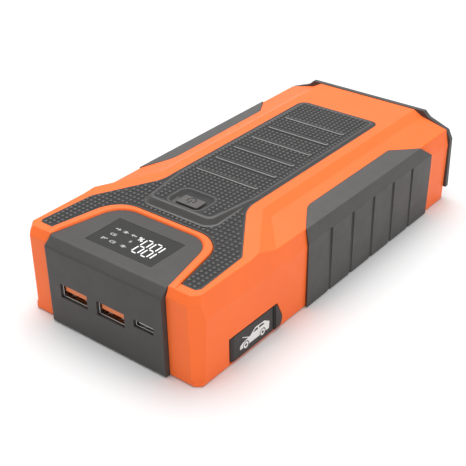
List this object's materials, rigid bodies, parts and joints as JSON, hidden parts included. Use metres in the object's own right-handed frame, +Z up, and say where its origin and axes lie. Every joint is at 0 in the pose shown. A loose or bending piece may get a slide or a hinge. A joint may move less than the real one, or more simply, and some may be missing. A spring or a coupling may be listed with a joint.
{
  "type": "jump starter pack",
  "caption": "Flat lithium jump starter pack with faceted casing, ribbed side grips, USB ports, charge display, torch and a covered jump lead socket.",
  "frame": {"origin": "on the table, under the middle of the pack's box", "axes": "+Z up, the front panel with the USB ports faces -Y, the jump lead socket faces +X"},
  "size_m": [0.086, 0.173, 0.04],
  "materials": {
    "orange_casing": "fine matt moulding",
    "dark_casing": "fine matt moulding",
    "textured_pad": "matt, knurled, with glossy rib ends",
    "grip_rubber": "matt soft-touch",
    "display_lens": "smoked gloss",
    "button_plastic": "satin",
    "cover_rubber": "matt",
    "bright_metal": "nickel plated",
    "port_orange": "satin",
    "port_grey": "satin",
    "brass": "plated",
    "socket_blue": "satin",
    "red_sleeve": "matt silicone",
    "black_sleeve": "matt silicone",
    "board_green": "solder mask",
    "chip_black": "matt",
    "ferrite": "matt",
    "capacitor_sleeve": "satin",
    "aluminium": "anodised",
    "relay_white": "satin",
    "screw_steel": "zinc plated",
    "black_steel": "black oxide",
    "cell_foil": "foil pouch",
    "foam": "closed cell",
    "frame_plastic": "matt",
    "tab_nickel": "plain",
    "copper": "plain copper",
    "ribbon_film": "polyimide",
    "led_cell": "phosphor",
    "reflector_chrome": "vacuum metallised",
    "clear_lens": "clear polycarbonate",
    "foot_rubber": "matt"
  },
  "bodies": {
    "pack": {"upper_housing": "orange_casing", "base_cover": "dark_casing", "front_panel": "dark_casing", "rear_cap": "dark_casing", "top_pad": "textured_pad", "left_grip": "grip_rubber", "right_grip": "grip_rubber", "display_window": "display_lens", "display_module": "relay_white", "display_board": "board_green", "display_ribbon": "ribbon_film", "tact_switch": "bright_metal", "cover_pin": "screw_steel", "jump_socket": "socket_blue", "jump_contacts": "brass", "positive_lead": "red_sleeve", "negative_lead": "black_sleeve", "usb_a_shells": "bright_metal", "usb_a_tongues": "port_orange", "usb_c_shell": "bright_metal", "usb_c_tongue": "port_grey", "control_board": "board_green", "control_chips": "chip_black", "inductors": "ferrite", "capacitors": "capacitor_sleeve", "power_board": "board_green", "power_transistors": "chip_black", "heat_sink": "aluminium", "relay": "relay_white", "board_screws": "screw_steel", "cell_1": "cell_foil", "cell_2": "cell_foil", "cell_3": "cell_foil", "cell_4": "cell_foil", "cell_foam": "foam", "cell_frame": "frame_plastic", "cell_tabs": "tab_nickel", "bus_bars": "copper", "torch_board": "board_green", "torch_led": "led_cell", "torch_reflector": "reflector_chrome", "torch_lens": "clear_lens", "panel_screws": "screw_steel", "housing_screws": "black_steel", "foot_pads": "foot_rubber"},
    "button": {"power_button": "button_plastic", "switch_plunger": "chip_black"},
    "cover": {"port_cover": "cover_rubber"}
  },
  "joints": [
    {"name": "button_press", "type": "slide", "parent": "pack", "child": "button", "axis": [0, 0, -1], "range_m": [0, 0.0005], "stiffness_N_per_m": 2000},
    {"name": "cover_hinge", "type": "hinge", "parent": "pack", "child": "cover", "pos_m": [0.0404, -0.0654, 0.0064], "axis": [0, 0, -1], "range_deg": [0, 100]}
  ]
}
